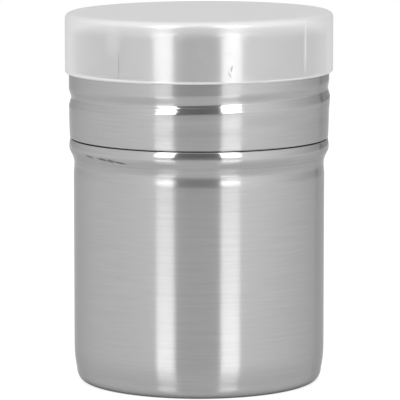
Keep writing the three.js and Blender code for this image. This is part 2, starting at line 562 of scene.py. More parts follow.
@dataclass(frozen=True)
class BrightSteel(Finish):
    """Stainless sheet or wire as it leaves the rolls or the die.

    It isn't rubbed, so its reflections aren't stretched, and a faint unevenness makes their sheen vary.
    """

    name: str = "stainless_steel_bright_rolled"
    colour: str = "bcbcbc"
    roughness: float = 0.18
    smooth_share: float = 0.8
    rough_share: float = 1.3
    grain: float = 1.5 * MM
    grain_depth: float = 0.002 * MM

    def shader(self, tree: Tree) -> Node:
        """Build the steel with the faint unevenness of a pressed sheet.

        Args:
            tree: The material's node tree.

        Returns:
            The metal's shader.
        """
        place = add_node(tree, "ShaderNodeTexCoord")
        grain = add_node(tree, "ShaderNodeTexNoise", {"Scale": 1 / self.grain, "Detail": 3.0},
                         {"Vector": place.outputs["Object"]})
        sheen = add_node(tree, "ShaderNodeMapRange",
                         {"To Min": self.roughness * self.smooth_share,
                          "To Max": self.roughness * self.rough_share}, {"Value": grain.outputs["Fac"]})
        bump = add_node(tree, "ShaderNodeBump", {"Strength": 1.0, "Distance": self.grain_depth},
                        {"Height": grain.outputs["Fac"]})
        return add_node(tree, "ShaderNodeBsdfPrincipled",
                        {"Base Color": linear(self.colour), "Metallic": 1.0},
                        {"Roughness": sheen.outputs["Result"], "Normal": bump.outputs["Normal"]})


@dataclass(frozen=True)
class FrostedPolypropylene(Finish):
    """Injection-moulded natural polypropylene with a frosted skin.

    It is milky, so it veils what is behind it, and hides it where the eye meets the skin at a slant. The
    mould was turned on a lathe, and its fine rings stretch each reflection up and down the wall.
    """

    crown: Band
    edge: Band
    rim: Band
    # The milky marks hold a painted highlight, a thin bright line for a lamp's reflection, and light rubs.
    milky: Marks
    scuffs: Marks
    name: str = "polypropylene_moulded_frosted"
    colour: str = "e6e6e6"
    scuff_colour: str = "8c8c8c"
    ior: float = 1.49
    roughness: float = 0.38
    frost_roughness: float = 0.35
    gloss: float = 0.228
    slanted_gloss: float = 0.3
    gloss_roughness: float = 0.26
    gloss_stretch: float = 0.7
    veil: float = 0.335
    slanted_veil: float = 1.55
    slant_power: float = 1.8
    crown_veil: float = 0.45
    edge_veil: float = 0.1
    rim_veil: float = 0.56
    glow: float = 0.15
    # The frost of a real mould is too fine to show from this far, so it is drawn coarser.
    frost: float = 0.5 * MM
    frost_depth: float = 0.004 * MM

    def veiling(self, tree: Tree, place: Node, crown: Socket, steep: Node) -> Socket:
        """Say how much the milk hides: more at a slant, and where the plastic is thick.

        Args:
            tree: The material's node tree.
            place: The node that gives the place on the piece.
            crown: How strongly the crown is felt.
            steep: The node that gives how much the eye meets the skin at a slant.

        Returns:
            The socket that gives the veil, which may pass 1.
        """
        veil = add_node(tree, "ShaderNodeMapRange", {"To Min": self.veil, "To Max": self.slanted_veil},
                        {"Value": steep.outputs[0]})
        total = veil.outputs["Result"]
        edge, rim = self.edge.felt(tree, place), self.rim.felt(tree, place)
        for thick, thick_veil in ((crown, self.crown_veil), (edge, self.edge_veil), (rim, self.rim_veil)):
            added = add_node(tree, "ShaderNodeMath", {"operation": "MULTIPLY_ADD", 1: thick_veil},
                             {0: thick, 2: total})
            total = added.outputs[0]
        return total

    def milk(self, tree: Tree, bump: Node) -> Node:
        """Build the milk in the plastic.

        Args:
            tree: The material's node tree.
            bump: The frost of the skin.

        Returns:
            The milk's shader.
        """
        skin = add_node(tree, "ShaderNodeBsdfPrincipled",
                        {"Base Color": linear(self.colour), "Roughness": self.roughness, "IOR": self.ior,
                         "Specular IOR Level": 0.0}, {"Normal": bump.outputs["Normal"]})
        # Some of the light that reaches the plastic passes on through it, so its inner side glows too.
        inside = add_node(tree, "ShaderNodeBsdfTranslucent", {"Color": linear(self.colour)})
        return add_node(tree, "ShaderNodeMixShader", {0: self.glow},
                        {1: skin.outputs[0], 2: inside.outputs[0]})

    def shader(self, tree: Tree) -> Node:
        """Build the milky plastic, with the frost of the mould on its skin.

        Args:
            tree: The material's node tree.

        Returns:
            The plastic's shader.
        """
        place = add_node(tree, "ShaderNodeTexCoord")
        frost = add_node(tree, "ShaderNodeTexNoise", {"Scale": 1 / self.frost, "Detail": 4.0},
                         {"Vector": place.outputs["Object"]})
        bump = add_node(tree, "ShaderNodeBump", {"Strength": 1.0, "Distance": self.frost_depth},
                        {"Height": frost.outputs["Fac"]})
        slant = add_node(tree, "ShaderNodeLayerWeight", {"Blend": 0.5})
        steep = add_node(tree, "ShaderNodeMath", {"operation": "POWER", 1: self.slant_power},
                         {0: slant.outputs["Facing"]})
        # A wall veils once, so its inner face, which the eye meets from behind, is left clear.
        side = add_node(tree, "ShaderNodeNewGeometry")
        outer = add_node(tree, "ShaderNodeMapRange", {"To Min": 1.0, "To Max": 0.0},
                         {"Value": side.outputs["Backfacing"]})
        crown = self.crown.felt(tree, place)
        alpha = add_node(tree, "ShaderNodeMath", {"operation": "MULTIPLY", "use_clamp": True},
                         {0: self.veiling(tree, place, crown, steep), 1: outer.outputs["Result"]})
        milk = self.milk(tree, bump)
        clear = add_node(tree, "ShaderNodeBsdfRefraction",
                         {"IOR": self.ior, "Roughness": self.frost_roughness})
        wall = add_node(tree, "ShaderNodeMixShader",
                        links={0: alpha.outputs[0], 1: clear.outputs[0], 2: milk.outputs[0]})
        # Both faces of the wall and the air gap behind them throw light back, where the milk is thin too.
        mirror = add_node(tree, "ShaderNodeMapRange", {"To Min": self.gloss, "To Max": self.slanted_gloss},
                          {"Value": steep.outputs[0]})
        thrown = add_node(tree, "ShaderNodeMath", {"operation": "MULTIPLY", "use_clamp": True},
                          {0: mirror.outputs["Result"], 1: outer.outputs["Result"]})
        around = add_node(tree, "ShaderNodeTangent", {"direction_type": "RADIAL", "axis": "Z"})
        stretch = add_node(tree, "ShaderNodeMapRange", {"To Min": self.gloss_stretch, "To Max": 0.0},
                           {"Value": crown})
        gloss = add_node(tree, "ShaderNodeBsdfAnisotropic", {"Roughness": self.gloss_roughness},
                         {"Normal": bump.outputs["Normal"], "Tangent": around.outputs["Tangent"],
                          "Anisotropy": stretch.outputs["Result"]})
        shown = add_node(tree, "ShaderNodeMixShader",
                         links={0: thrown.outputs[0], 1: wall.outputs[0], 2: gloss.outputs[0]})
        # A painted highlight, a thin bright vertical line for a lamp's reflection, and light rubs are milkier
        # than the rest.
        soil = add_node(tree, "ShaderNodeBsdfDiffuse", {"Color": linear(self.scuff_colour)})
        for marks, cover in ((self.milky, milk), (self.scuffs, soil)):
            shown = add_node(tree, "ShaderNodeMixShader",
                             links={0: marks.felt(tree, place), 1: shown.outputs[0], 2: cover.outputs[0]})
        return shown


@dataclass(frozen=True)
class OpalAcrylic(Finish):
    """Cast opal acrylic with a polished face, lit from below.

    It is plain white to the eye but for soft shadows, and a pale grey with a sheen in reflections. In
    reflections its glow carries a painted shadow close round the shaker's foot, from one distance from the
    axis to another.
    """

    # The painted shadow round the foot runs from the first of these radii to the second.
    painted_shadow_inner: float
    painted_shadow_outer: float
    name: str = "acrylic_opal_white"
    colour: str = "c8c8c8"
    light: str = "ffffff"
    roughness: float = 0.15
    glow: float = 0.34
    glow_seen: float = 0.65

    def shader(self, tree: Tree) -> Node:
        """Build the acrylic, matt to the eye and with a sheen in reflections.

        Args:
            tree: The material's node tree.

        Returns:
            The acrylic's shader.
        """
        path = add_node(tree, "ShaderNodeLightPath")
        sheen = add_node(tree, "ShaderNodeBsdfPrincipled",
                         {"Base Color": linear(self.colour), "Roughness": self.roughness})
        matt = add_node(tree, "ShaderNodeBsdfDiffuse", {"Color": linear(self.colour)})
        surface = add_node(tree, "ShaderNodeMixShader",
                           links={0: path.outputs["Is Camera Ray"], 1: sheen.outputs[0], 2: matt.outputs[0]})
        place = add_node(tree, "ShaderNodeTexCoord")
        away = add_node(tree, "ShaderNodeVectorMath", {"operation": "LENGTH"}, {0: place.outputs["Object"]})
        # Painted shadow: the glow that reflections see fades to nothing close round the shaker's foot.
        glow_past_painted_shadow = add_node(tree, "ShaderNodeMapRange",
                             {"interpolation_type": "SMOOTHSTEP", "From Min": self.painted_shadow_inner,
                              "From Max": self.painted_shadow_outer, "To Max": self.glow},
                             {"Value": away.outputs["Value"]})
        glow = add_node(tree, "ShaderNodeMix", {"data_type": "FLOAT", "B": self.glow_seen},
                        {"Factor": path.outputs["Is Camera Ray"], "A": glow_past_painted_shadow.outputs["Result"]})
        lit = add_node(tree, "ShaderNodeEmission", {"Color": linear(self.light)},
                       {"Strength": glow.outputs[0]})
        return add_node(tree, "ShaderNodeAddShader", links={0: surface.outputs[0], 1: lit.outputs[0]})


@dataclass(frozen=True)
class MattPaper(Finish):
    """Matt dyed paper, pressed into a card.

    It throws light back evenly, so a card shows in the steel as one plain tone.
    """

    name: str
    colour: str
    roughness: float = 0.9

    def shader(self, tree: Tree) -> Node:
        """Build the paper in its one colour."""
        return add_node(tree, "ShaderNodeBsdfPrincipled",
                        {"Base Color": linear(self.colour), "Roughness": self.roughness})


@dataclass
class Cup:
    """The deep-drawn cup, with its rolled bead and the neck that the lid screws on.

    The edge of the bead's roll has left a fine line in its lower side.
    """

    radius: float = 32.18 * MM
    sheet: float = 0.5 * MM
    foot_radius: float = 29.5 * MM
    foot_width: float = 5 * MM
    foot_rounding: float = 0.4 * MM
    base_rise: float = 0.8 * MM
    base_step: float = 1.2 * MM
    base_rounding: float = 0.8 * MM
    heel_radius: float = 2.8 * MM
    heel_draw: float = 0.65 * MM
    heel_height: float = 9 * MM
    heel_steps: int = 8
    body_step: float = 4 * MM
    waist_draw: float = 0.19 * MM
    waist_depth: float = 6.3 * MM
    waist_fade: float = 3 * MM
    waist_steps: int = 12
    bead_proud: float = 1.1 * MM
    bead_height: float = 5.3 * MM
    # The bead from the waist up: shares of its height below its top, and of how far it stands proud.
    bead_shares: tuple[Point, ...] = (
        (1.1, -0.13), (1.02, -0.05), (0.94, 0.05), (0.87, 0.14), (0.835, 0.18), (0.815, 0.265),
        (0.785, 0.305), (0.74, 0.42), (0.69, 0.55), (0.6, 0.77), (0.52, 0.91), (0.43, 0.985),
        (0.34, 1.0), (0.22, 0.966), (0.11, 0.875), (0.03, 0.765), (0.0, 0.66))
    # How far the bead's inner side sinks, as a share of its distance from the outer one.
    sink_share: float = 0.8
    neck_height: float = 28.34 * MM
    neck_step: float = 0.25 * MM
    mouth_edge: float = 0.2 * MM
    ridge_height: float = 0.44 * MM
    ridge_half_width: float = 2 * MM
    thread: Thread = Thread(at_front=76.5 * MM)
    # The burnished band starts this share of the bead's height below its top and ends a little above.
    bright_share: float = 0.36
    bright_above: float = 1 * MM
    bright_fade: float = 0.8 * MM
    # Scratches on the left, level with this share of the bead's height below its top.
    scratch_share: float = 0.56
    scratch_radius: float = 33 * MM
    scratches: tuple[Mark, ...] = (
        Mark(bearing=-56.0, over=0.2 * MM, wide=2.6 * MM, tall=0.5 * MM, tilt=-0.05, strength=0.6),
        Mark(bearing=-47.0, over=0, wide=3.2 * MM, tall=0.4 * MM, tilt=-0.06, strength=0.9),
        Mark(bearing=-42.0, over=-0.15 * MM, wide=2.2 * MM, tall=0.55 * MM, tilt=-0.08, strength=0.8),
        Mark(bearing=-37.0, over=-0.4 * MM, wide=3.2 * MM, tall=0.26 * MM, tilt=-0.1, strength=1.0))

    def __post_init__(self) -> None:
        """Read the mouth's height from the frame, and the bead's from that."""
        self.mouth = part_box("cup")[1].z
        self.bead_top = self.mouth - self.neck_height

    def wall(self, inset: float) -> list[Point]:
        """Draw one side of the sheet from the foot to the neck.

        Args:
            inset: How far inside the outer face it lies, 0 for that face.

        Returns:
            The side's points, from the foot up.
        """
        heel_top = self.radius - self.heel_draw
        heel = arc((self.foot_radius, self.heel_radius),
                   (heel_top - self.foot_radius - inset, self.heel_radius - inset), -QUARTER, 0)
        for share in (i / self.heel_steps for i in range(1, self.heel_steps + 1)):
            heel.append((self.radius - self.heel_draw * (1 - share) ** 2 - inset,
                         self.heel_radius + (self.heel_height - self.heel_radius) * share))
        waist_foot = (self.radius - inset, self.bead_top - self.waist_depth - self.waist_fade)
        waist_top = (self.radius - self.waist_draw - inset, self.bead_top - self.waist_depth)
        body = line(heel[-1], waist_foot, self.body_step)[1:]
        waist = [(waist_foot[0] - self.waist_draw * smoothstep(share),
                  waist_foot[1] + self.waist_fade * share)
                 for share in (i / self.waist_steps for i in range(self.waist_steps))]
        bead = [(self.radius + self.bead_proud * out - inset,
                 self.bead_top - self.bead_height * down - inset * self.sink_share)
                for down, out in self.bead_shares]
        return [*heel, *body, *waist, *smooth_curve([waist_top, *bead])]

    def ridge(self, over: float) -> float:
        """Say how far the rolled ridge stands out at a height over its middle line."""
        return self.ridge_height * bell(over / self.ridge_half_width)

    def rolled(self, turn: float, height: float) -> float:
        """Say how far out the roll has moved the neck, at a share of a turn and a height."""
        return self.thread.swell(turn, height, self.ridge)

    def shell(self) -> bpy.types.Object:
        """Make the cup's mesh.

        Returns:
            The cup's object.
        """
        inner = self.radius - self.sheet
        step_foot = self.foot_radius - self.foot_width
        step_top = step_foot - self.base_step
        underside = softened([(0, self.base_rise, 0), (step_top, self.base_rise, self.base_rounding),
                              (step_foot, 0, self.foot_rounding), (self.foot_radius, 0, 0)])
        floor = softened([(self.foot_radius, self.sheet, 0), (step_foot, self.sheet, self.foot_rounding),
                          (step_top, self.base_rise + self.sheet, self.base_rounding),
                          (0, self.base_rise + self.sheet, 0)])
        below = self.mouth - 2 * self.mouth_edge
        mouth = softened([(self.radius, below, 0), (self.radius, self.mouth, self.mouth_edge),
                          (inner, self.mouth, self.mouth_edge), (inner, below, 0)])
        neck_foot = (self.radius, self.bead_top)
        outer_neck = line((self.radius, self.bead_top + self.mouth_edge), mouth[0], self.neck_step)
        inner_neck = line(mouth[-1], (inner, self.bead_top), self.neck_step)
        profile = [*underside[:-1], *self.wall(0), neck_foot, *outer_neck, *mouth, *inner_neck[1:],
                   *reversed(self.wall(self.sheet)), *floor[1:]]
        return turned("cup_shell", profile, reach=self.rolled)

    def dress(self, piece: bpy.types.Object) -> None:
        """Give the cup its satin wall and polished bead, and let it stand for the solid.

        Args:
            piece: The cup's object.
        """
        bead = Band(self.bead_top - self.bright_share * self.bead_height,
                    self.bead_top + self.bright_above, self.bright_fade)
        scratches = Marks(self.scratch_radius, self.bead_top - self.scratch_share * self.bead_height,
                          self.scratches)
        finish = SatinSteel("stainless_steel_satin_cup", bright=bead, scuffs=scratches)
        piece.data.materials.append(finish.material())
        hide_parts("cup")
        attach(piece, "cup")

    def build(self) -> list[bpy.types.Object]:
        """Make the cup and dress it.

        Returns:
            Its one piece.
        """
        shell = self.shell()
        self.dress(shell)
        return [shell]


@dataclass
class Lid:
    """The screwed lid: a collar with the thread rolled into it and its top turned in over the sieve."""

    radius: float = 33.28 * MM
    sheet: float = 0.5 * MM
    rim_height: float = 0.36 * MM
    rim_rounding: float = 0.12 * MM
    skirt_rounding: float = 0.252 * MM
    skirt_draw: float = 0.15 * MM
    skirt_draw_height: float = 6.6 * MM
    skirt_steps: int = 24
    shoulder: float = 2.2 * MM
    lip_width: float = 4.8 * MM
    lip_turn: float = 0.9 * MM
    groove_depth: float = 0.4 * MM
    groove_above: float = 2.6 * MM
    groove_below: float = 2.1 * MM
    crest_height: float = 0.14 * MM
    crest_above: float = 1.6 * MM
    crest_below: float = 4.5 * MM
    uneven_roll: float = 0.12 * MM
    # How far each fine line lies below the groove's bottom, and how far it stands out.
    roll_lines: tuple[Point, ...] = ((0.62 * MM, 0.04 * MM), (1.87 * MM, 0.012 * MM))
    line_half_width: float = 0.25 * MM
    roll_step: float = 0.08 * MM
    plain_step: float = 0.25 * MM
    thread: Thread = Thread(at_front=74.0 * MM)
    bright_fade: float = 0.5 * MM

    def __post_init__(self) -> None:
        """Read the lid's heights from the frame."""
        low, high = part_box("lid")
        self.bottom, self.top = low.z, high.z

    def groove(self, over: float) -> float:
        """Say how far the wall is drawn in by the groove, which is steeper and crisper below its bottom.

        Args:
            over: The height over the groove's bottom.

        Returns:
            A share of the groove's depth.
        """
        if over >= 0:
            return bell(over / self.groove_above)
        left = 1 - min(1.0, -over / self.groove_below)
        return left * (1 + 2 * left) / 3

    def ridges(self, over: float) -> float:
        """Say how far the fine lines that the roll left under the groove's bottom stand out there."""
        return sum(height * bell((over + below) / self.line_half_width) for below, height in self.roll_lines)

    def crest(self, over: float) -> float:
        """Say how far the metal that the roll pushed aside stands proud under the groove.

        Args:
            over: The height over the groove's bottom.

        Returns:
            A share of the crest's height.
        """
        above = over + self.groove_below
        return bell(above / (self.crest_above if above > 0 else self.crest_below))

    def rolled(self, turn: float, height: float) -> float:
        """Say how far out the roll has moved the wall at a place.

        Args:
            turn: The place's angle as a share of a turn.
            height: The place's height.

        Returns:
            A length, negative along the groove and positive along the crest under it.
        """
        # The rolls bit a little deeper on the left than on the right, where more metal was pushed up.
        lean = self.uneven_roll * math.cos(TURN * turn)
        groove = (self.groove_depth - lean) * self.thread.swell(turn, height, self.groove)
        crest = (self.crest_height + lean) * self.thread.swell(turn, height, self.crest)
        return crest - groove + self.thread.swell(turn, height, self.ridges)

    def collar(self) -> bpy.types.Object:
        """Make the lid's mesh.

        Returns:
            The lid's object.
        """
        bore = self.radius - self.sheet
        foot = self.radius - self.skirt_draw
        rim_top = self.bottom + self.rim_height
        rim = softened([(bore, rim_top, 0), (bore, self.bottom, self.rim_rounding),
                        (foot, self.bottom, self.skirt_rounding), (foot, rim_top, 0)])
        drawn = self.bottom + self.skirt_draw_height
        skirt = [(self.radius - self.skirt_draw * (1 - share) ** 2, rim_top + (drawn - rim_top) * share)
                 for share in (i / self.skirt_steps for i in range(1, self.skirt_steps))]
        shoulder = (self.radius - self.shoulder, self.top - self.shoulder)
        roll_end = self.thread.end_height() + 2 * self.line_half_width
        outside = [*line((self.radius, drawn), (self.radius, roll_end), self.roll_step),
                   *line((self.radius, roll_end), (self.radius, shoulder[1]), self.plain_step)]
        turn_in = (self.radius - self.lip_width + self.lip_turn, self.top - self.lip_turn)
        lip_inner = self.lip_turn - self.sheet
        inside = self.shoulder - self.sheet
        profile = [*rim, *skirt, *outside,
                   *arc(shoulder, (self.shoulder, self.shoulder), 0, QUARTER),
                   *arc(turn_in, (self.lip_turn, self.lip_turn), QUARTER, 2 * QUARTER),
                   *arc(turn_in, (lip_inner, lip_inner), 2 * QUARTER, QUARTER),
                   *arc(shoulder, (inside, inside), QUARTER, 0),
                   *line((bore, shoulder[1]), rim[0], self.plain_step)[1:]]
        return turned("lid_collar", profile, reach=self.rolled, closed=True)

    def dress(self, piece: bpy.types.Object) -> None:
        """Give the lid its satin skirt with a polished roll, and let it stand for the solid.

        Args:
            piece: The lid's object.
        """
        roll = Band(self.thread.at_front - self.groove_below, self.thread.at_front, self.bright_fade)
        finish = SatinSteel("stainless_steel_satin_lid", bright=roll)
        piece.data.materials.append(finish.material())
        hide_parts("lid")
        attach(piece, "lid")

    def build(self) -> list[bpy.types.Object]:
        """Make the lid and dress it.

        Returns:
            Its one piece.
        """
        collar = self.collar()
        self.dress(collar)
        return [collar]


class Run(Enum):
    """The way a wire of the net runs."""

    ALONG_X = "along X"
    ALONG_Y = "along Y"


@dataclass
class Sieve:
    """The sieve: a woven wire mesh held at its edge in a crimped ring."""

    ring_sheet: float = 0.4 * MM
    ring_bore: float = 29.08 * MM
    ring_rounding: float = 0.12 * MM
    ring_corner: float = 1.2 * MM
    ring_segments: int = 240
    mesh_tuck: float = 1.5 * MM
    slot_gap: float = 0.4 * MM
    wire: float = 0.3 * MM
    # A sieve for powder is often woven finer than this, and is drawn coarser so that its wires show.
    weave_pitch: float = 1.2 * MM
    # The outermost wires lie within this share of the tuck, where they are long enough to be held.
    held_share: float = 0.8
    steps_per_crossing: int = 4
    wire_sides: int = 5

    def __post_init__(self) -> None:
        """Read the ring's box and the net's height from the frame."""
        low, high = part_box("sieve_ring")
        self.bottom, self.top, self.ring_radius = low.z, high.z, high.x
        low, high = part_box("sieve_mesh")
        self.mesh_middle = (low.z + high.z) / 2

    def rim(self) -> bpy.types.Object:
        """Make the crimped ring, whose channel opens towards the middle.

        Returns:
            The ring's object.
        """
        rounding = self.ring_rounding
        slot_radius = self.ring_bore + self.mesh_tuck + self.slot_gap
        slot_low, slot_high = self.bottom + self.ring_sheet, self.top - self.ring_sheet
        corner_foot = self.top - self.ring_corner
        start = (self.ring_bore, (self.bottom + slot_low) / 2, 0)
        profile = softened([start, (self.ring_bore, self.bottom, rounding),
                            (self.ring_radius - self.ring_sheet, self.bottom, rounding),
                            (self.ring_radius, slot_low, rounding), (self.ring_radius, corner_foot, 0)])
        profile += arc((self.ring_radius - self.ring_corner, corner_foot),
                       (self.ring_corner, self.ring_corner), 0, QUARTER)[1:]
        profile += softened([(*profile[-1], 0), (self.ring_bore, self.top, rounding),
                             (self.ring_bore, slot_high, rounding), (slot_radius, slot_high, rounding),
                             (slot_radius, slot_low, rounding), (self.ring_bore, slot_low, rounding),
                             start])[1:-1]
        return turned("sieve_rim", profile, segments=self.ring_segments, closed=True)

    def wire_path(self, offset: float, phase: float) -> list[Vector]:
        """Lay one wire of the weave along X, going over and under the wires that cross it.

        Args:
            offset: How far from the middle of the net the wire lies.
            phase: A whole number of times pi, odd where the wire lies low at its middle.

        Returns:
            The wire's middle line, about a height of 0.
        """
        reach = self.ring_bore + self.mesh_tuck
        crossings = int(math.sqrt(reach ** 2 - offset ** 2) / self.weave_pitch)
        half_count = crossings * self.steps_per_crossing
        step = self.weave_pitch / self.steps_per_crossing
        path = []
        for x in (i * step for i in range(-half_count, half_count + 1)):
            lift = self.wire / 2 * math.cos(math.pi * x / self.weave_pitch + phase)
            path.append(Vector((x, offset, lift)))
        return path

    def net(self) -> bpy.types.Object:
        """Weave the net from round wires that run both ways.

        Returns:
            The net's object.
        """
        vertices: list[Corner] = []
        faces: list[tuple[int, ...]] = []
        count = int((self.ring_bore + self.mesh_tuck * self.held_share) / self.weave_pitch)
        for number in range(-count, count + 1):
            for run in Run:
                # Where a wire passes over, its neighbours and the wire that crosses it pass under.
                phase = math.pi * (number % 2 + (run is Run.ALONG_Y))
                self.sweep(self.wire_path(number * self.weave_pitch, phase), run, vertices, faces)
        return new_piece("sieve_net", vertices, faces)

    def sweep(self, path: Sequence[Vector], run: Run, vertices: list[Corner],
              faces: list[tuple[int, ...]]) -> None:
        """Add one wire to the net as a closed round rod.

        Args:
            path: The wire's middle line, along X.
            run: The way the wire is laid in the net.
            vertices: The net's vertices so far, which the rod's are added to.
            faces: The net's faces so far, likewise.
        """
        first = len(vertices)
        sides = self.wire_sides
        swapped = run is Run.ALONG_Y
        for place in path:
            for angle in (TURN * k / sides for k in range(sides)):
                x, y, z = place + self.wire / 2 * Vector((0, math.cos(angle), math.sin(angle)))
                across, along = (y, x) if swapped else (x, y)
                vertices.append((across, along, z + self.mesh_middle))
        last = len(vertices) - sides
        rod = []
        for ring in range(first, last, sides):
            for k in range(sides):
                a, b = ring + k, ring + (k + 1) % sides
                rod.append((a + sides, b + sides, b, a))
        rod += [tuple(range(first, first + sides)), tuple(reversed(range(last, last + sides)))]
        # Laying the wire the other way turns its faces inside out, so their corners are taken backwards.
        faces.extend(face[::-1] if swapped else face for face in rod)

    def dress(self, ring: bpy.types.Object, net: bpy.types.Object) -> None:
        """Give the sieve its bright steel and let both pieces stand for their solids.

        Args:
            ring: The crimped ring.
            net: The woven net.
        """
        ring.data.materials.append(BrightSteel().material())
        wire = BrightSteel(name="stainless_steel_drawn_wire", colour="a9a9a9", roughness=0.24)
        net.data.materials.append(wire.material())
        for piece, node, slot in ((ring, "sieve_ring", "ring_steel"), (net, "sieve_mesh", "wire_steel")):
            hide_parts(node)
            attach(piece, "sieve")

    def build(self) -> list[bpy.types.Object]:
        """Make the sieve and dress it.

        Returns:
            Its ring and its net.
        """
        ring, net = self.rim(), self.net()
        self.dress(ring, net)
        return [ring, net]


@dataclass
class Cap:
    """The push-on cap, moulded in one piece with a softly rounded crown."""

    wall: float = 0.8 * MM
    top_wall: float = 1.2 * MM
    crown_height: float = 1.45 * MM
    crown_width: float = 1.8 * MM
    crown_steps: int = 20
    edge: float = 0.35 * MM
    rounding: float = 0.1 * MM
    # The faces that meet on the axis end at this radius.
    middle_radius: float = 5 * MM
    top_step: float = 6 * MM
    wall_step: float = 2 * MM
    lean: float = math.radians(0.3)
    # The crown's milk is thickest from this share of its height below the top up to just under it.
    crown_share: float = 0.45
    crown_below: float = 0.1 * MM
    crown_fade: float = 4.6 * MM
    edge_fade: float = 0.35 * MM
    rim_fade: float = 0.3 * MM
    mark_radius: float = 34 * MM
    # Marks are placed over the rim. A painted highlight comes first, a thin bright vertical line that stands
    # in for a lamp's reflection, then a broad rub and two light ones.
    highlight_and_rub_marks: tuple[Mark, ...] = (
        Mark(bearing=50.8, over=7.7 * MM, wide=0.5 * MM, tall=9 * MM, tilt=0, strength=0.95),
        Mark(bearing=-38.5, over=9.9 * MM, wide=3.2 * MM, tall=5.5 * MM, tilt=0, strength=0.25),
        Mark(bearing=0.4, over=7.5 * MM, wide=0.7 * MM, tall=3 * MM, tilt=0.3, strength=0.13),
        Mark(bearing=3.4, over=5.5 * MM, wide=0.5 * MM, tall=1.8 * MM, tilt=-0.5, strength=0.13))
    scuffs: tuple[Mark, ...] = (
        Mark(bearing=13.6, over=3.6 * MM, wide=0.26 * MM, tall=1.2 * MM, tilt=-0.25, strength=0.8),
        Mark(bearing=12.7, over=2.3 * MM, wide=0.24 * MM, tall=1.1 * MM, tilt=0.5, strength=0.6),
        Mark(bearing=-35.5, over=4 * MM, wide=0.2 * MM, tall=4.5 * MM, tilt=0, strength=0.6))

    def __post_init__(self) -> None:
        """Read the cap's box from the frame."""
        low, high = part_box("cap")
        self.bottom, self.top, self.radius = low.z, high.z, high.x

    def cover(self) -> bpy.types.Object:
        """Make the cap's mesh.

        Returns:
            The cap's object.
        """
        bore = self.radius - self.wall
        ceiling = self.top - self.top_wall
        crown = (self.radius - self.crown_width, self.top - self.crown_height)
        inner_r = self.crown_width - self.wall / 2
        inner_z = self.crown_height - self.top_wall
        rim = softened([(bore, self.bottom + 3 * self.rounding, 0), (bore, self.bottom, self.rounding),
                        (self.radius - self.edge, self.bottom, self.rounding),
                        (self.radius, self.bottom + self.edge, self.rounding),
                        (self.radius, self.bottom + 3 * self.edge, 0)])
        profile = [(0, ceiling),
                   *line((self.middle_radius, ceiling), (bore - inner_r, ceiling), self.top_step),
                   *arc((bore - inner_r, crown[1]), (inner_r, inner_z), QUARTER, 0),
                   *line((bore, crown[1]), rim[0], self.wall_step)[1:], *rim,
                   *line(rim[-1], (self.radius, crown[1]), self.wall_step)[1:],
                   *arc(crown, (self.crown_width, self.crown_height), 0, QUARTER, self.crown_steps),
                   *line((crown[0] - self.rounding, self.top), (self.middle_radius, self.top), self.top_step),
                   (0, self.top)]
        piece = turned("cap_cover", profile)
        # It was pushed on a little askew, so it sits deeper on the left.
        for vertex in piece.data.vertices:
            vertex.co.z -= (self.radius - vertex.co.x) * math.tan(self.lean)
        return piece

    def dress(self, piece: bpy.types.Object) -> None:
        """Give the cap its frosted plastic, and let it stand for the solid.

        Args:
            piece: The cap's object.
        """
        finish = FrostedPolypropylene(
            crown=Band(self.top - self.crown_share * self.crown_height, self.top - self.crown_below,
                       self.crown_fade),
            edge=Band(self.top - self.crown_height, self.top, self.edge_fade),
            rim=Band(self.bottom, self.bottom + self.edge, self.rim_fade),
            milky=Marks(self.mark_radius, self.bottom, self.highlight_and_rub_marks),
            scuffs=Marks(self.mark_radius, self.bottom, self.scuffs))
        piece.data.materials.append(finish.material())
        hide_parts("cap")
        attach(piece, "cap")

    def build(self) -> list[bpy.types.Object]:
        """Make the cap and dress it.

        Returns:
            Its one piece.
        """
        cover = self.cover()
        self.dress(cover)
        return [cover]


@dataclass(frozen=True)
class Lamp:
    """A tall soft lamp: its bearing and width as seen from the shaker, in degrees, and its brightness."""

    name: str
    bearing: float
    spread: float
    strength: float


@dataclass(frozen=True)
class Card:
    """An upright card: its bearing and width as seen from the shaker, in degrees, its shade and heights."""

    name: str
    bearing: float
    spread: float
    shade: str
    low: float = -250 * MM
    high: float = 1300 * MM


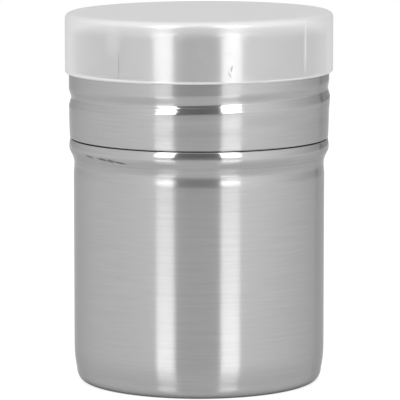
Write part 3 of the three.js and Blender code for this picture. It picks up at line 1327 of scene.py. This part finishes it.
@dataclass
class Studio:
    """A small photographic studio: a white table, two tall soft lamps and upright cards round the shaker.

    A bearing runs from the camera's side, positive to the right as the camera sees it.
    """

    camera_distance: float = 881 * MM
    camera_height: float = 167 * MM
    camera_pitch: float = 0.1363
    camera_side: float = 0.25 * MM
    camera_sight: float = 10000 * MM
    focal_pixels: float = 3460.0
    frame_pixels: float = 400.0
    # A sensor's width is given in millimetres.
    sensor: float = 36.0
    table_radius: float = 700 * MM
    table_sides: int = 128
    # A painted shadow in the table's glow, seen only in reflections, runs from the shaker's foot, where it is
    # darkest, to where it ends.
    painted_shadow_start: float = 29.8 * MM
    painted_shadow_end: float = 32.5 * MM
    lamp_distance: float = 1100 * MM
    lamp_low: float = 140 * MM
    lamp_high: float = 1300 * MM
    lamps: tuple[Lamp, ...] = (
        Lamp("soft_lamp_left", bearing=-30.1, spread=17.0, strength=5.1),
        Lamp("soft_lamp_right", bearing=28.1, spread=17.4, strength=5.2))
    card_distance: float = 1320 * MM
    card_steps: int = 8
    cards: tuple[Card, ...] = (
        Card("grey_card_front_low", bearing=-1.9, spread=43.0, shade="a8a8a8", high=120 * MM),
        Card("dark_card_front_high", bearing=-1.9, spread=43.0, shade="868686", low=120 * MM),
        Card("dark_strip_right", bearing=136.5, spread=6.5, shade="b0b0b0"))
    surround_colour: str = "ffffff"
    light_on_matt: float = 0.8
    side_white: float = 1.06
    front_gain: float = 0.385
    front_right_gain: float = 0.22
    right_gain: float = -0.02

    def camera(self) -> None:
        """Set the camera where the photograph was taken from."""
        data = bpy.data.cameras.new("camera")
        data.sensor_width = self.sensor
        data.lens = self.focal_pixels / self.frame_pixels * self.sensor
        data.clip_end = self.camera_sight
        camera = bpy.data.objects.new("camera", data)
        camera.location = (self.camera_side, -self.camera_distance, self.camera_height)
        camera.rotation_euler = (QUARTER - self.camera_pitch, 0, 0)
        bpy.context.scene.collection.objects.link(camera)
        bpy.context.scene.camera = camera

    def surround(self) -> None:
        """Make the pale surround.

        It is white to the eye. In reflections it is brighter towards the front, most of all at the front
        right, and dimmer towards the back.
        """
        world = bpy.data.worlds.new("pale_surround")
        world.use_nodes = True
        tree = world.node_tree
        tree.nodes.clear()
        path = add_node(tree, "ShaderNodeLightPath")
        way = add_node(tree, "ShaderNodeTexCoord")
        front, right = (add_node(tree, "ShaderNodeVectorMath",
                                 {"operation": "DOT_PRODUCT", 1: self.place_at(bearing, 1.0)},
                                 {0: way.outputs["Generated"]}) for bearing in (0.0, 90.0))
        sides = add_node(tree, "ShaderNodeMath",
                         {"operation": "MULTIPLY_ADD", 1: self.right_gain, 2: self.side_white},
                         {0: right.outputs["Value"]})
        ahead = add_node(tree, "ShaderNodeMath",
                         {"operation": "MULTIPLY_ADD", 1: self.front_right_gain, 2: self.front_gain},
                         {0: right.outputs["Value"]})
        walls = add_node(tree, "ShaderNodeMath", {"operation": "MULTIPLY_ADD"},
                         {0: front.outputs["Value"], 1: ahead.outputs[0], 2: sides.outputs[0]})
        seen = add_node(tree, "ShaderNodeMath", {"operation": "MAXIMUM"},
                        {0: path.outputs["Is Glossy Ray"], 1: path.outputs["Is Transmission Ray"]})
        level = add_node(tree, "ShaderNodeMix", {"data_type": "FLOAT", "A": self.light_on_matt},
                         {"Factor": seen.outputs[0], "B": walls.outputs[0]})
        strength = add_node(tree, "ShaderNodeMix", {"data_type": "FLOAT", "B": 1.0},
                            {"Factor": path.outputs["Is Camera Ray"], "A": level.outputs[0]})
        back = add_node(tree, "ShaderNodeBackground", {"Color": linear(self.surround_colour)},
                        {"Strength": strength.outputs[0]})
        add_node(tree, "ShaderNodeOutputWorld", links={"Surface": back.outputs[0]})
        bpy.context.scene.world = world

    def table(self) -> None:
        """Lay the round white table."""
        bpy.ops.mesh.primitive_circle_add(vertices=self.table_sides, radius=self.table_radius,
                                          fill_type="NGON")
        table = bpy.context.object
        table.name = "white_table"
        table.data.materials.append(OpalAcrylic(self.painted_shadow_start, self.painted_shadow_end).material())

    def place_at(self, bearing: float, distance: float) -> Vector:
        """Find the spot on the table's level at a bearing and distance from the shaker."""
        angle = math.radians(bearing)
        return Vector((distance * math.sin(angle), -distance * math.cos(angle), 0))

    def lamp(self, lamp: Lamp) -> None:
        """Stand one tall soft lamp beside the table, facing the shaker.

        Args:
            lamp: The lamp's bearing, width and brightness.
        """
        width = 2 * self.lamp_distance * math.tan(math.radians(lamp.spread / 2))
        height = self.lamp_high - self.lamp_low
        data = bpy.data.lights.new(lamp.name, "AREA")
        data.shape = "RECTANGLE"
        data.size = width
        data.size_y = height
        # A flat lamp of this power and size has a face as bright as its strength says, where 1 is white.
        data.energy = lamp.strength * math.pi * width * height
        light = bpy.data.objects.new(lamp.name, data)
        spot = self.place_at(lamp.bearing, self.lamp_distance)
        light.rotation_euler = spot.to_track_quat("Z", "Y").to_euler()
        light.location = spot + Vector((0, 0, (self.lamp_high + self.lamp_low) / 2))
        light.visible_camera = False
        bpy.context.scene.collection.objects.link(light)

    def card(self, card: Card) -> None:
        """Stand one upright card, curved about the shaker, that only its reflections show.

        Args:
            card: The card's bearing, width, shade and heights.
        """
        turns = [i / self.card_steps - 0.5 for i in range(self.card_steps + 1)]
        spots = [self.place_at(card.bearing + card.spread * turn, self.card_distance) for turn in turns]
        vertices = [(spot.x, spot.y, z) for spot in spots for z in (card.low, card.high)]
        faces = [(2 * i, 2 * i + 2, 2 * i + 3, 2 * i + 1) for i in range(self.card_steps)]
        panel = new_piece(card.name, vertices, faces, smooth=False)
        panel.data.materials.append(MattPaper(f"paper_{card.shade}", card.shade).material())
        panel.visible_camera = False

    def build(self) -> None:
        """Set up the camera, the lamps and the rest of the studio."""
        self.camera()
        self.surround()
        self.table()
        for lamp in self.lamps:
            self.lamp(lamp)
        for card in self.cards:
            self.card(card)
        bpy.context.scene.view_settings.view_transform = "Standard"


def main() -> None:
    """Build and dress the shaker's parts in order, then the studio round them, and report each piece."""
    for part in (Cup(), Lid(), Sieve(), Cap()):
        for piece in part.build():
            log.info("%s: %d faces", piece.name, len(piece.data.polygons))
    Studio().build()
    log.info("studio: ready")


if __name__ == "__main__":
    main()
